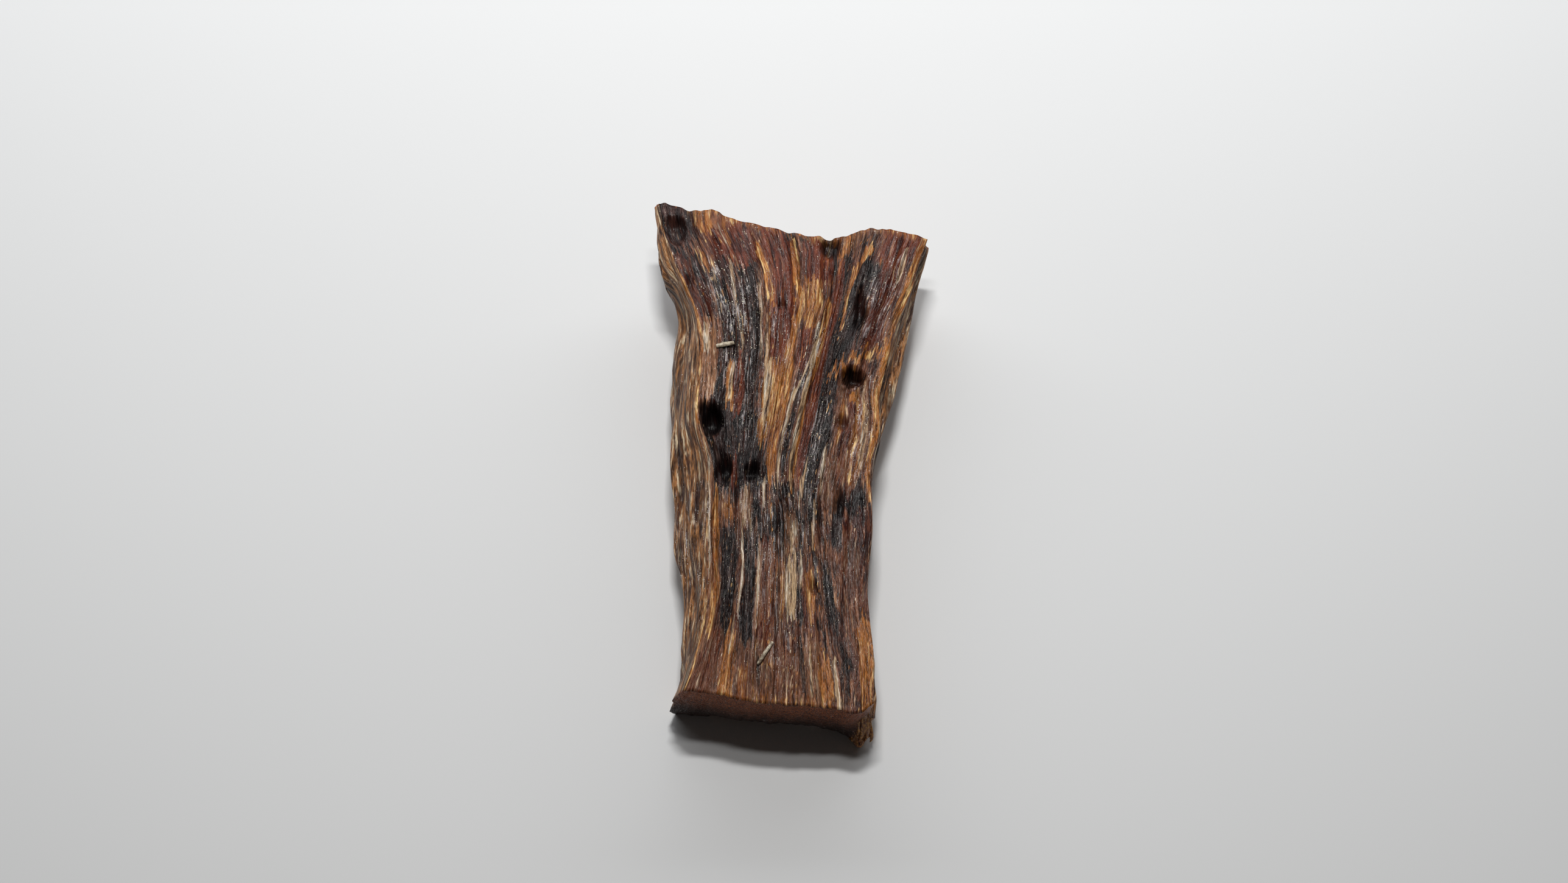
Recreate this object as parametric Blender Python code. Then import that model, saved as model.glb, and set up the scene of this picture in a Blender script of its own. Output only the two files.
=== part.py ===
"""A chip of agarwood, split along the grain and cut across at its near end.

It lies on its hollow underside. +Z is up, +Y runs along the grain to the wider, broken end, and the
origin is on the table under the middle of the chip. The object is modelled in metres. The dimensions
below are in millimetres, on a drawing whose point MIDDLE comes to the origin.
"""

import random

import bmesh
import bpy
import numpy as np

MM = 0.001
MIDDLE = (0.44, -1.72)

# Cells of the solid across the grain, along it and through the thickness
ACROSS = 36
ALONG = 48
THROUGH = 9

# Outline seen from above: pairs of (place along the grain, place across it)
LEFT_RIDGE = [(-15.5, -5.75), (-13.5, -4.95), (-10, -4.2), (-6, -4.1), (-2, -4.15), (0.5, -4.7),
              (3.5, -4.55), (6.5, -4.8), (8.3, -5.55), (10.5, -6.3), (13, -6.85)]
LEFT_SWELL = [(-15, -6.35), (-14, -5.9), (-11.5, -5.45), (-8.8, -5.1), (-6.5, -5.6), (-3.5, -5.85),
              (0.5, -6.1), (4, -6.15), (8.2, -6.0), (8.9, -6.45), (9.6, -6.62), (11, -6.75), (13, -6.9)]
RIGHT_EDGE = [(-15.6, 4.75), (-13, 4.8), (-9.5, 4.5), (-5, 4.72), (-1.9, 4.79), (0.8, 5.35),
              (3.5, 5.93), (7, 6.8), (9, 7.2), (11, 7.85)]

# Three grain lines across the top, and the share of the width that lies to the left of each
GRAIN_SHARES = (0.25, 0.6, 0.77)
GRAIN_LINES = (
    [(-15, -2.85), (-7.6, -2.3), (-4.1, -2.3), (0.2, -2.1), (6.6, -1.9), (9.1, -2.25), (11.7, -3.25)],
    [(-15, 0.48), (-5.4, 0.48), (-1.5, 0.4), (0.4, 0.82), (4, 1.65), (7.1, 2.25), (11, 2.6)],
    [(-15, 2.4), (-10, 2.0), (-3.7, 1.7), (1, 2.4), (4.1, 2.87), (7.1, 3.7), (11.2, 4.65)],
)

# Ends: pairs of (share of the width from the left, place along the grain)
FAR_END = [(0, 13.18), (0.06, 12.98), (0.15, 12.5), (0.19, 12.62), (0.26, 12.22), (0.36, 11.65),
           (0.45, 11.3), (0.53, 10.92), (0.6, 11.02), (0.67, 11.18), (0.72, 11.45), (0.84, 11.5),
           (0.9, 11.35), (1, 11.12)]
NEAR_END = [(0, -14.55), (0.2, -14.85), (0.3, -15.1), (0.54, -15.35), (0.78, -15.5), (0.95, -15.6),
            (1, -15.1)]

# Heights above the table: pairs of (place along the grain, height)
LEFT_HEIGHT = [(-15.5, 4.35), (-12, 4.6), (-7, 4.95), (-2, 5.35), (3.5, 5.8), (8, 5.9), (10.5, 5.5), (13, 5.2)]
RIGHT_HEIGHT = [(-15.6, 3.9), (-9, 3.95), (0, 4.2), (8, 4.65), (11, 4.85)]
UNDER_HEIGHT = [(-16, 0.75), (-13.5, 1.0), (-8, 0.85), (-2, 0.5), (2.5, 0.12), (6, -0.16), (9, 0.12),
                (11, 0.65), (13, 1.0)]
CROWN = 0.35

# The underside comes down to the table at the two near corners and rises under the far left horn
NEAR_LEFT_FOOT = (0.03, -14.3, 1.45)
NEAR_RIGHT_FOOT = (0.95, -15.3, 1.45)
HORN_LIFT = 2.5
FAR_RIGHT_LIFT = 0.9

# Sides: how far they are tucked in at the bottom, less so at the near end, and the right side's ledge
TUCK_LEFT = 1.0
TUCK_RIGHT = 0.8
TUCK_NEAR = 0.25
LEDGE_OUT = 0.5
LEDGE_SPAN = (1.0, 7.4)

# Ribs and furrows along the grain on top: (share of the width, half width as a share, height, from, to)
RIBS = [
    (0.045, 0.022, -0.16, -13, 7),
    (0.10, 0.03, 0.14, -12, 8),
    (0.155, 0.02, -0.14, 3, 10),
    (0.21, 0.05, 0.2, 1, 11),
    (0.30, 0.025, -0.18, -1, 11),
    (0.36, 0.035, 0.15, -13, 9),
    (0.455, 0.02, -0.24, 3, 12),
    (0.53, 0.045, 0.28, 1, 12),
    (0.58, 0.02, 0.16, -8, 7),
    (0.63, 0.025, -0.22, -6, 11),
    (0.70, 0.05, -0.34, -3, 12),
    (0.775, 0.018, 0.22, 6, 12),
    (0.87, 0.05, 0.18, 4, 12),
    (0.92, 0.03, -0.14, -12, 4),
    (0.975, 0.02, 0.14, -6, 11),
    (0.45, 0.03, 0.16, -14, -4),
    (0.52, 0.02, -0.14, -13, -2),
    (0.72, 0.03, 0.14, -14, -4),
    (0.80, 0.02, -0.16, -13, -4),
    (0.22, 0.03, -0.14, -13, -5),
]

# Knots, hollows and cracks on top: (across, along, half width, half length, depth, height of rim)
HOLLOWS = [
    (-3.85, 0.35, 0.55, 0.8, 1.3, 0.14),
    (-3.25, -2.5, 0.45, 0.75, 0.8, 0.04),
    (-1.65, -2.55, 0.45, 0.7, 0.7, 0.04),
    (3.85, 3.1, 0.6, 0.5, 1.1, 0.2),
    (3.05, 0.4, 0.4, 0.5, 0.4, 0.05),
    (2.45, 10.5, 0.55, 0.8, 0.8, 0.0),
    (4.1, 6.8, 0.3, 1.4, 0.65, 0.0),
    (-0.15, 6.9, 0.3, 0.4, 0.35, 0.05),
    (-5.8, 11.4, 0.5, 0.6, 0.35, 0.1),
    (-5.1, 8.0, 0.3, 0.9, 0.35, 0.0),
    (3.0, -4.2, 0.28, 0.9, 0.4, 0.0),
    (1.6, -8.9, 0.3, 0.45, 0.3, 0.04),
]

# Height of the finest ribs, which differ from one row of fibres to the next
TOP_GRAIN = 0.1
SIDE_GRAIN = 0.27
UNDER_GRAIN = 0.18
END_GRAIN = 0.14

# Splintered fibres that hang from the near right corner: (share of width, half width, half height, length)
TUFT = (0.955, 0.045, 0.2, 0.95)


def curve(points, at):
    """Smooth curve through (place, value) pairs, level beyond its ends."""
    place = np.array([p[0] for p in points], float)
    value = np.array([p[1] for p in points], float)
    slope = np.gradient(value, place)
    at = np.clip(at, place[0], place[-1])
    k = np.clip(np.searchsorted(place, at, side="right") - 1, 0, len(place) - 2)
    step = place[k + 1] - place[k]
    t = (at - place[k]) / step
    rise = (value[k + 1] - value[k]) / step
    start = slope[k]
    finish = slope[k + 1]
    bend = t * (1 - t) * ((start - rise) * (1 - t) - (finish - rise) * t)
    return value[k] + step * (t * rise + bend)


def window(at, start, finish, soft):
    """1 between start and finish, and fading to 0 over the length soft at each."""
    inside = np.minimum(at - start, finish - at) / soft
    t = np.clip(inside * 0.5 + 0.5, 0, 1)
    return t * t * (3 - 2 * t)


def bump(distance):
    return np.exp(-(distance ** 2))


def fibres(share, along, rows, seed):
    """Rows of fibres side by side, each with its own height from -1 to 1 that drifts along the grain."""
    rng = random.Random(seed)
    places = np.linspace(-17, 14, 9)
    heights = np.array([[rng.uniform(-1, 1) for _ in places] for _ in range(rows + 1)])
    row = np.clip(share, 0, 1) * rows
    low = np.minimum(row.astype(int), rows - 1)
    t = row - low
    t = t * t * (3 - 2 * t)
    total = np.zeros_like(share)
    for number in range(rows + 1):
        weight = np.where(low == number, 1 - t, 0) + np.where(low + 1 == number, t, 0)
        total += weight * curve(list(zip(places, heights[number])), along)
    return total


def ledge(along):
    return LEDGE_OUT * window(along, LEDGE_SPAN[0], LEDGE_SPAN[1], 1.4)


def tuck(along):
    return TUCK_NEAR + (1 - TUCK_NEAR) * window(along, -12.5, 30, 2.5)


def share_of_width(u, along):
    """Share of the top's width at grain position u, so that rows of cells follow the grain lines."""
    knots = (0.0,) + GRAIN_SHARES + (1.0,)
    left = curve(LEFT_RIDGE, along)
    right = curve(RIGHT_EDGE, along) - ledge(along)
    lines = [left] + [curve(line, along) for line in GRAIN_LINES] + [right]
    across = np.zeros_like(u)
    for number, line in enumerate(lines):
        pulse = [(knot, 1.0 if k == number else 0.0) for k, knot in enumerate(knots)]
        across += curve(pulse, u) * line
    return (across - left) / (right - left)


def left_side(w, along):
    ridge = curve(LEFT_RIDGE, along)
    swell = curve(LEFT_SWELL, along)
    middle = 0.5 * (ridge + swell) - 0.12
    profile = np.zeros_like(w)
    stops = ((0.0, swell + TUCK_LEFT * tuck(along)), (0.35, swell), (0.7, middle), (1.0, ridge))
    for place, value in stops:
        pulse = [(stop[0], 1.0 if stop[0] == place else 0.0) for stop in stops]
        profile += curve(pulse, w) * value
    return profile


def right_side(w, along):
    edge = curve(RIGHT_EDGE, along)
    top = edge - ledge(along)
    profile = np.zeros_like(w)
    stops = ((0.0, edge - TUCK_RIGHT * tuck(along)), (0.3, edge - 0.2 * tuck(along)), (0.6, edge - 0.05),
             (0.84, top - 0.08), (1.0, top))
    for place, value in stops:
        pulse = [(stop[0], 1.0 if stop[0] == place else 0.0) for stop in stops]
        profile += curve(pulse, w) * value
    return profile


def top_height(u, share, across, along):
    left = curve(LEFT_HEIGHT, along)
    right = curve(RIGHT_HEIGHT, along)
    height = left + (right - left) * share ** 0.8 + CROWN * 4 * share * (1 - share)
    for centre, half, rise, start, finish in RIBS:
        height += rise * bump((u - centre) / half) * window(along, start, finish, 2.5)
    for x, y, half_width, half_length, depth, rim in HOLLOWS:
        reach = np.hypot((across - x) / half_width, (along - y) / half_length)
        height += rim * bump((reach - 1.35) / 0.3) - depth * np.exp(-(reach ** 3))
    return height + TOP_GRAIN * fibres(u, along, ACROSS, 3)


def under_height(share, along):
    height = curve(UNDER_HEIGHT, along) + 0.35 * (1 - 4 * share * (1 - share))
    for x, y, drop in (NEAR_LEFT_FOOT, NEAR_RIGHT_FOOT):
        height -= drop * bump((share - x) / 0.17) * bump((along - y) / 1.9)
    height += HORN_LIFT * bump(share / 0.2) * window(along, 8.8, 20, 0.6)
    height += FAR_RIGHT_LIFT * bump((share - 1) / 0.3) * window(along, 8.0, 20, 3)
    height += UNDER_GRAIN * fibres(share, along, 18, 7)
    return np.maximum(height, 0)


def chip_points(u, v, w):
    """Carries points of the unit block to the chip, in drawing millimetres."""
    far = curve(FAR_END, u) - 0.45 * (1 - w) ** 2 + END_GRAIN * fibres(u, 12 * w, ACROSS, 11)
    near = curve(NEAR_END, u) - 0.22 * (1 - w) + 0.3 * (1 - w) ** 6
    near += 0.05 * fibres(u, 12 * w, ACROSS, 13)
    near -= TUFT[3] * bump((u - TUFT[0]) / TUFT[1]) * bump((w - 0.06) / TUFT[2])
    along = near + v * (far - near)
    share = share_of_width(u, along)
    left = left_side(w, along)
    right = right_side(w, along)
    side = 4 * w * (1 - w)
    left += SIDE_GRAIN * side * fibres(w, along, THROUGH, 17)
    right += SIDE_GRAIN * side * fibres(w, along, THROUGH, 19)
    across = left + share * (right - left)
    under = under_height(share, along)
    top = top_height(u, share, across, along)
    return across, along, under + w * (top - under)


def block(across, along, through):
    """Unit block whose faces are cut into a regular net of cells."""
    bm = bmesh.new()
    bmesh.ops.create_cube(bm, size=1)
    for axis, cells in enumerate((across, along, through)):
        whole = [e for e in bm.edges if abs(e.verts[0].co[axis] - e.verts[1].co[axis]) > 0.99]
        bmesh.ops.subdivide_edges(bm, edges=whole, cuts=cells - 1, use_grid_fill=True)
    return bm


def chip_mesh():
    bm = block(ACROSS, ALONG, THROUGH)
    unit = np.array([vert.co for vert in bm.verts], float) + 0.5
    across, along, height = chip_points(unit[:, 0], unit[:, 1], unit[:, 2])
    for vert, x, y, z in zip(bm.verts, across, along, height):
        vert.co = ((x - MIDDLE[0]) * MM, (y - MIDDLE[1]) * MM, z * MM)
    bmesh.ops.triangulate(bm, faces=bm.faces)
    bmesh.ops.recalc_face_normals(bm, faces=bm.faces)
    mesh = bpy.data.meshes.new("agarwood_chip")
    bm.to_mesh(mesh)
    bm.free()
    return mesh


def agarwood_material():
    material = bpy.data.materials.new("agarwood")
    material.use_nodes = True
    shader = material.node_tree.nodes["Principled BSDF"]
    shader.inputs["Base Color"].default_value = (0.085, 0.042, 0.03, 1)
    shader.inputs["Roughness"].default_value = 0.42
    shader.inputs["Metallic"].default_value = 0.0
    material.diffuse_color = (0.085, 0.042, 0.03, 1)
    return material


for leftover in list(bpy.data.objects):
    bpy.data.objects.remove(leftover)

collection = bpy.data.collections.new("agarwood_piece")
bpy.context.scene.collection.children.link(collection)
chip = bpy.data.objects.new("agarwood_chip", chip_mesh())
chip.data.materials.append(agarwood_material())
collection.objects.link(chip)
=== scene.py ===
# %% [markdown]
# # A chip of agarwood
# This lesson dresses one small piece of agarwood, a split chip about 30 mm long. The solid model is
# already made, and here it is given its fine fibres, its streaks of dark resin and golden wood, and
# a camera and light. The solid is loaded first, so that every new piece lies in the same place.

import math
import random

import bmesh
import bpy
import numpy as np
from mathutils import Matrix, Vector, noise


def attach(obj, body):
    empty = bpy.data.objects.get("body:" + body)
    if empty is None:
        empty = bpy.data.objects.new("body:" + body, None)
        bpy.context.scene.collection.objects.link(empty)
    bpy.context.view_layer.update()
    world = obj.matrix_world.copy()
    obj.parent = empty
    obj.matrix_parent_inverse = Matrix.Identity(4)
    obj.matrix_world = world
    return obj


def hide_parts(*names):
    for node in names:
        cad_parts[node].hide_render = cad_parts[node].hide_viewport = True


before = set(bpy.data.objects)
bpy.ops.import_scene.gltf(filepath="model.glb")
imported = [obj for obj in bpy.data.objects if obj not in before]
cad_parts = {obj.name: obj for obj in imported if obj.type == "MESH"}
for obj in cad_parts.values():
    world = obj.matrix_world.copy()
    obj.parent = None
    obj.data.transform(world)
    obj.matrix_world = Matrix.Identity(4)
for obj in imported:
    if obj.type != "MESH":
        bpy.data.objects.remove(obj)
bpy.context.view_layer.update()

# %% [markdown]
# ## Numbers that shape the chip
# A chip of wood has no straight edges, so its outline is a set of smooth curves. Each curve is a few
# measured pairs, and the values between them are filled in by a spline. All lengths are in
# millimetres on a drawing seen from above: y runs along the grain, x runs across it, and the point
# MIDDLE comes to the origin.

# %% Outline seen from above
MM = 0.001
MIDDLE = (0.44, -1.72)

LEFT_RIDGE = [(-15.5, -5.75), (-13.5, -4.95), (-10, -4.2), (-6, -4.1), (-2, -4.15), (0.5, -4.7),
              (3.5, -4.55), (6.5, -4.8), (8.3, -5.55), (10.5, -6.3), (13, -6.85)]
LEFT_SWELL = [(-15, -6.35), (-14, -5.9), (-11.5, -5.45), (-8.8, -5.1), (-6.5, -5.6), (-3.5, -5.85),
              (0.5, -6.1), (4, -6.15), (8.2, -6.0), (8.9, -6.45), (9.6, -6.62), (11, -6.75), (13, -6.9)]
RIGHT_EDGE = [(-15.6, 4.75), (-13, 4.8), (-9.5, 4.5), (-5, 4.72), (-1.9, 4.79), (0.8, 5.35),
              (3.5, 5.93), (7, 6.8), (9, 7.2), (11, 7.85)]
FAR_END = [(0, 13.06), (0.06, 12.86), (0.15, 12.5), (0.19, 12.62), (0.26, 12.22), (0.36, 11.65),
           (0.45, 11.3), (0.53, 10.92), (0.6, 11.02), (0.67, 11.18), (0.72, 11.45), (0.84, 11.5),
           (0.9, 11.35), (1, 11.12)]
NEAR_END = [(0, -14.55), (0.2, -14.85), (0.3, -15.1), (0.54, -15.35), (0.78, -15.5), (0.95, -15.6),
            (1, -15.1)]
print("from end to end:", round(max(y for _, y in FAR_END) - min(y for _, y in NEAR_END), 2), "mm")

# %% Lines that the grain follows
GRAIN_SHARES = (0.25, 0.6, 0.77)
GRAIN_LINES = (
    [(-15, -2.85), (-7.6, -2.3), (-4.1, -2.3), (0.2, -2.1), (6.6, -1.9), (9.1, -2.25), (11.7, -3.25)],
    [(-15, 0.48), (-5.4, 0.48), (-1.5, 0.4), (0.4, 0.82), (4, 1.65), (7.1, 2.25), (11, 2.6)],
    [(-15, 2.4), (-10, 2.0), (-3.7, 1.7), (1, 2.4), (4.1, 2.87), (7.1, 3.7), (11.2, 4.65)],
)
print(len(GRAIN_LINES), "lines of grain between the two edges")

# %% Heights, and how the sides and the ends turn under
LEFT_HEIGHT = [(-15.5, 4.35), (-12, 4.6), (-7, 4.95), (-2, 5.35), (3.5, 5.8), (8, 5.9), (10.5, 5.5),
               (13, 5.2)]
RIGHT_HEIGHT = [(-15.6, 3.9), (-9, 3.95), (0, 4.2), (8, 4.65), (11, 4.85)]
UNDER_HEIGHT = [(-16, 0.75), (-13.5, 1.0), (-8, 0.85), (-2, 0.5), (2.5, 0.12), (6, -0.16), (9, 0.12),
                (11, 0.65), (13, 1.0)]
CROWN = 0.35
UNDER_EDGE_LIFT = 0.35
NEAR_LEFT_FOOT = (0.03, -14.3, 1.45)
NEAR_RIGHT_FOOT = (0.95, -15.3, 1.45)
FOOT_HALF_WIDTH = 0.17
FOOT_HALF_LENGTH = 1.9
HORN_LIFT = 2.5
HORN_FROM = 8.8
FAR_RIGHT_LIFT = 0.9
FAR_RIGHT_FROM = 8.0
BEYOND = 30
TUCK_LEFT = 1.0
TUCK_RIGHT = 0.8
TUCK_NEAR = 0.25
TUCK_FROM = -12.5
LEDGE_OUT = 0.5
LEDGE_SPAN = (1.0, 7.4)
LEDGE_SOFT = 1.4
FAR_LEAN = 0.45
NEAR_LEAN = 0.22
NEAR_BEVEL = 0.3
TUFT_PLACE = (0.955, 0.06)
TUFT_HALF = (0.045, 0.2)
TUFT_OUT = 0.95
print("height of the left ridge: up to", max(z for _, z in LEFT_HEIGHT), "mm")

# %% [markdown]
# ## Ribs, furrows and hollows
# Split wood keeps the rows of its fibres as ribs and furrows. The large ones are listed one by one, as a
# share of the width from the left side, with a half width, a height, and the stretch of the grain
# that they cover. The hollows are old knots and resin pockets, which sink below the surface: each
# has its place x and y, its half width and half length, its depth and the height of its rim.

# %% Ribs and hollows
RIBS = [
    (0.045, 0.022, -0.16, -13, 7),
    (0.10, 0.03, 0.14, -12, 8),
    (0.155, 0.02, -0.14, 3, 10),
    (0.21, 0.05, 0.2, 1, 11),
    (0.30, 0.025, -0.18, -1, 11),
    (0.36, 0.035, 0.15, -13, 9),
    (0.455, 0.02, -0.24, 3, 12),
    (0.53, 0.045, 0.28, 1, 12),
    (0.58, 0.02, 0.16, -8, 7),
    (0.63, 0.025, -0.22, -6, 11),
    (0.70, 0.05, -0.34, -3, 12),
    (0.775, 0.018, 0.22, 6, 12),
    (0.87, 0.05, 0.18, 4, 12),
    (0.92, 0.03, -0.14, -12, 4),
    (0.975, 0.02, 0.14, -6, 11),
    (0.45, 0.03, 0.16, -14, -4),
    (0.52, 0.02, -0.14, -13, -2),
    (0.72, 0.03, 0.14, -14, -4),
    (0.80, 0.02, -0.16, -13, -4),
    (0.22, 0.03, -0.14, -13, -5),
]
HOLLOWS = [
    (-3.85, 0.35, 0.52, 0.75, 1.3, 0.14),
    (-3.25, -2.5, 0.38, 0.6, 0.7, 0.04),
    (-1.65, -2.55, 0.4, 0.55, 0.65, 0.04),
    (3.85, 3.1, 0.58, 0.42, 1.1, 0.2),
    (3.05, 0.4, 0.3, 0.4, 0.35, 0.05),
    (2.45, 10.5, 0.5, 0.7, 0.7, 0.0),
    (4.1, 6.8, 0.24, 1.3, 0.65, 0.0),
    (-0.15, 6.9, 0.24, 0.3, 0.3, 0.05),
    (-5.85, 11.5, 0.55, 0.65, 0.4, 0.1),
    (-5.1, 8.0, 0.26, 0.8, 0.3, 0.0),
    (3.0, -4.2, 0.22, 0.8, 0.4, 0.0),
    (1.6, -8.9, 0.22, 0.35, 0.3, 0.04),
]
FIBRE_ROWS = 36
SIDE_ROWS = 9
UNDER_ROWS = 18
TOP_GRAIN = 0.1
SIDE_GRAIN = 0.27
UNDER_GRAIN = 0.18
END_GRAIN = 0.05
END_DRIFT = 12
RIB_FADE = 2.5
RIM_REACH = 1.35
RIM_WIDTH = 0.3
print(len(RIBS), "ribs and furrows,", len(HOLLOWS), "hollows")


# %% [markdown]
# ## Smooth curves through a few points
# A spline passes through each measured pair and bends gently between them. Numpy works out all the
# points of the mesh at once, which is far quicker than a loop over them.

# %% Curve helpers
def curve(points, at):
    place = np.array([p[0] for p in points], float)
    value = np.array([p[1] for p in points], float)
    slope = np.gradient(value, place)
    at = np.clip(at, place[0], place[-1])
    k = np.clip(np.searchsorted(place, at, side="right") - 1, 0, len(place) - 2)
    step = place[k + 1] - place[k]
    t = (at - place[k]) / step
    rise = (value[k + 1] - value[k]) / step
    bend = t * (1 - t) * ((slope[k] - rise) * (1 - t) - (slope[k + 1] - rise) * t)
    return value[k] + step * (t * rise + bend)


def window(at, start, finish, soft):
    inside = np.minimum(at - start, finish - at) / soft
    t = np.clip(inside * 0.5 + 0.5, 0, 1)
    return t * t * (3 - 2 * t)


def bump(distance):
    return np.exp(-(distance ** 2))


print("left ridge at the middle of the chip:", round(float(curve(LEFT_RIDGE, np.array(0.0))), 2), "mm")


# %% [markdown]
# ## Rows of fibres
# Each row of fibres has its own height, which drifts along the grain. The heights are drawn from a
# seeded generator, so the chip comes out the same each time the script runs.

# %% Fibre rows
def fibres(share, along, rows, seed):
    rng = random.Random(seed)
    places = np.linspace(-17, 14, 9)
    heights = np.array([[rng.uniform(-1, 1) for _ in places] for _ in range(rows + 1)])
    row = np.clip(share, 0, 1) * rows
    low = np.minimum(row.astype(int), rows - 1)
    t = row - low
    t = t * t * (3 - 2 * t)
    total = np.zeros_like(share)
    for number in range(rows + 1):
        weight = np.where(low == number, 1 - t, 0) + np.where(low + 1 == number, t, 0)
        total += weight * curve(list(zip(places, heights[number])), along)
    return total


def ledge(along):
    return LEDGE_OUT * window(along, LEDGE_SPAN[0], LEDGE_SPAN[1], LEDGE_SOFT)


def tuck(along):
    return TUCK_NEAR + (1 - TUCK_NEAR) * window(along, TUCK_FROM, BEYOND, 2.5)


middle_row = fibres(np.array([0.5]), np.array([0.0]), FIBRE_ROWS, 3)
print("drift of the middle row of fibres:", round(float(middle_row[0]), 2))


# %% [markdown]
# ## From a plain block to the chip
# The chip is a unit block whose points are carried to new places. The block's three directions are
# u across the grain, v along it and w up through the thickness. The rows of cells follow the grain
# lines, so ribs and streaks that are straight in the block flow in curves on the chip.

# %% Across the grain
def across_top(u, along):
    knots = (0.0,) + GRAIN_SHARES + (1.0,)
    left = curve(LEFT_RIDGE, along)
    right = curve(RIGHT_EDGE, along) - ledge(along)
    lines = [left] + [curve(line, along) for line in GRAIN_LINES] + [right]
    across = np.zeros_like(u)
    for number, line in enumerate(lines):
        pulse = [(knot, 1.0 if k == number else 0.0) for k, knot in enumerate(knots)]
        across += curve(pulse, u) * line
    return (across - left) / (right - left)


print("middle line's share of the width:", round(float(across_top(np.array([0.5]), np.array([0.0]))[0]), 2))


# %% Side profiles
def side_profile(stops, w):
    profile = np.zeros_like(w)
    for place, value in stops:
        pulse = [(stop[0], 1.0 if stop[0] == place else 0.0) for stop in stops]
        profile += curve(pulse, w) * value
    return profile


def left_side(w, along):
    ridge = curve(LEFT_RIDGE, along)
    swell = curve(LEFT_SWELL, along)
    middle = 0.5 * (ridge + swell) - 0.12
    stops = ((0.0, swell + TUCK_LEFT * tuck(along)), (0.35, swell), (0.7, middle), (1.0, ridge))
    return side_profile(stops, w)


def right_side(w, along):
    edge = curve(RIGHT_EDGE, along)
    top = edge - ledge(along)
    stops = ((0.0, edge - TUCK_RIGHT * tuck(along)), (0.3, edge - 0.2 * tuck(along)), (0.6, edge - 0.05),
             (0.84, top - 0.08), (1.0, top))
    return side_profile(stops, w)


waist = right_side(np.array([0.0, 1.0]), np.array([0.0, 0.0]))
print("right side at the middle, foot and top:", np.round(waist, 2), "mm")


# %% Heights of the top and the underside
def hollow_reach(x, y, half_width, half_length, across, along, ragged):
    return np.hypot((across - x) / half_width, (along - y) / half_length) * (1 + 0.5 * ragged)


def top_height(u, share, across, along, ragged):
    left = curve(LEFT_HEIGHT, along)
    right = curve(RIGHT_HEIGHT, along)
    height = left + (right - left) * share ** 0.8 + CROWN * 4 * share * (1 - share)
    for centre, half, rise, start, finish in RIBS:
        height += rise * bump((u - centre) / half) * window(along, start, finish, RIB_FADE)
    for x, y, half_width, half_length, depth, rim in HOLLOWS:
        reach = hollow_reach(x, y, half_width, half_length, across, along, ragged)
        height += rim * bump((reach - RIM_REACH) / RIM_WIDTH) - depth * np.exp(-(reach ** 3))
    return height + TOP_GRAIN * fibres(u, along, FIBRE_ROWS, 3)


def under_height(share, along):
    height = curve(UNDER_HEIGHT, along) + UNDER_EDGE_LIFT * (1 - 4 * share * (1 - share))
    for x, y, drop in (NEAR_LEFT_FOOT, NEAR_RIGHT_FOOT):
        height -= drop * bump((share - x) / FOOT_HALF_WIDTH) * bump((along - y) / FOOT_HALF_LENGTH)
    height += HORN_LIFT * bump(share / 0.2) * window(along, HORN_FROM, BEYOND, 0.6)
    height += FAR_RIGHT_LIFT * bump((share - 1) / 0.3) * window(along, FAR_RIGHT_FROM, BEYOND, 3)
    height += UNDER_GRAIN * fibres(share, along, UNDER_ROWS, 7)
    return np.maximum(height, 0)


worn = under_height(np.linspace(0, 1, 50), np.full(50, 6.0))
print("share of the underside that touches the paper at y = 6:", round(float((worn == 0).mean()), 2))


# %% Carry the block to the chip
def chip_points(u, v, w, ragged):
    far = curve(FAR_END, u) - FAR_LEAN * (1 - w) ** 2
    far += END_GRAIN * fibres(u, END_DRIFT * w, FIBRE_ROWS, 11)
    near = curve(NEAR_END, u) - NEAR_LEAN * (1 - w) + NEAR_BEVEL * (1 - w) ** 6
    near += END_GRAIN * fibres(u, END_DRIFT * w, FIBRE_ROWS, 13)
    near -= TUFT_OUT * bump((u - TUFT_PLACE[0]) / TUFT_HALF[0]) * bump((w - TUFT_PLACE[1]) / TUFT_HALF[1])
    along = near + v * (far - near)
    share = across_top(u, along)
    left = left_side(w, along)
    right = right_side(w, along)
    side = 4 * w * (1 - w)
    left += SIDE_GRAIN * side * fibres(w, along, SIDE_ROWS, 17)
    right += SIDE_GRAIN * side * fibres(w, along, SIDE_ROWS, 19)
    across = left + share * (right - left)
    under = under_height(share, along)
    top = top_height(u, share, across, along, ragged)
    depth = (1 - w) * (top - under)
    return across, along, top - depth, depth


corner = chip_points(np.array([0.0]), np.array([1.0]), np.array([1.0]), np.array([0.0]))
print("tip of the horn:", [round(float(value[0]), 2) for value in corner[:3]], "mm")


# %% [markdown]
# ## The block and its map
# The block is a cube whose faces are cut into a net of cells: 200 across the grain, 150 along it and
# 40 through the thickness. While it is still a cube it is easy to unfold, so each of its six sides
# is given its own rectangle on a flat map before the points move.

# %% Cut the block into cells
CELLS = (200, 150, 40)
MAP_SIDES = {
    (2, 1): (0, 1, 0.01, 0.01, 0.42, 0.83),
    (2, -1): (0, 1, 0.45, 0.01, 0.19, 0.83),
    (0, -1): (2, 1, 0.66, 0.01, 0.15, 0.83),
    (0, 1): (2, 1, 0.83, 0.01, 0.15, 0.83),
    (1, -1): (0, 2, 0.01, 0.86, 0.42, 0.13),
    (1, 1): (0, 2, 0.45, 0.86, 0.53, 0.13),
}


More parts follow.
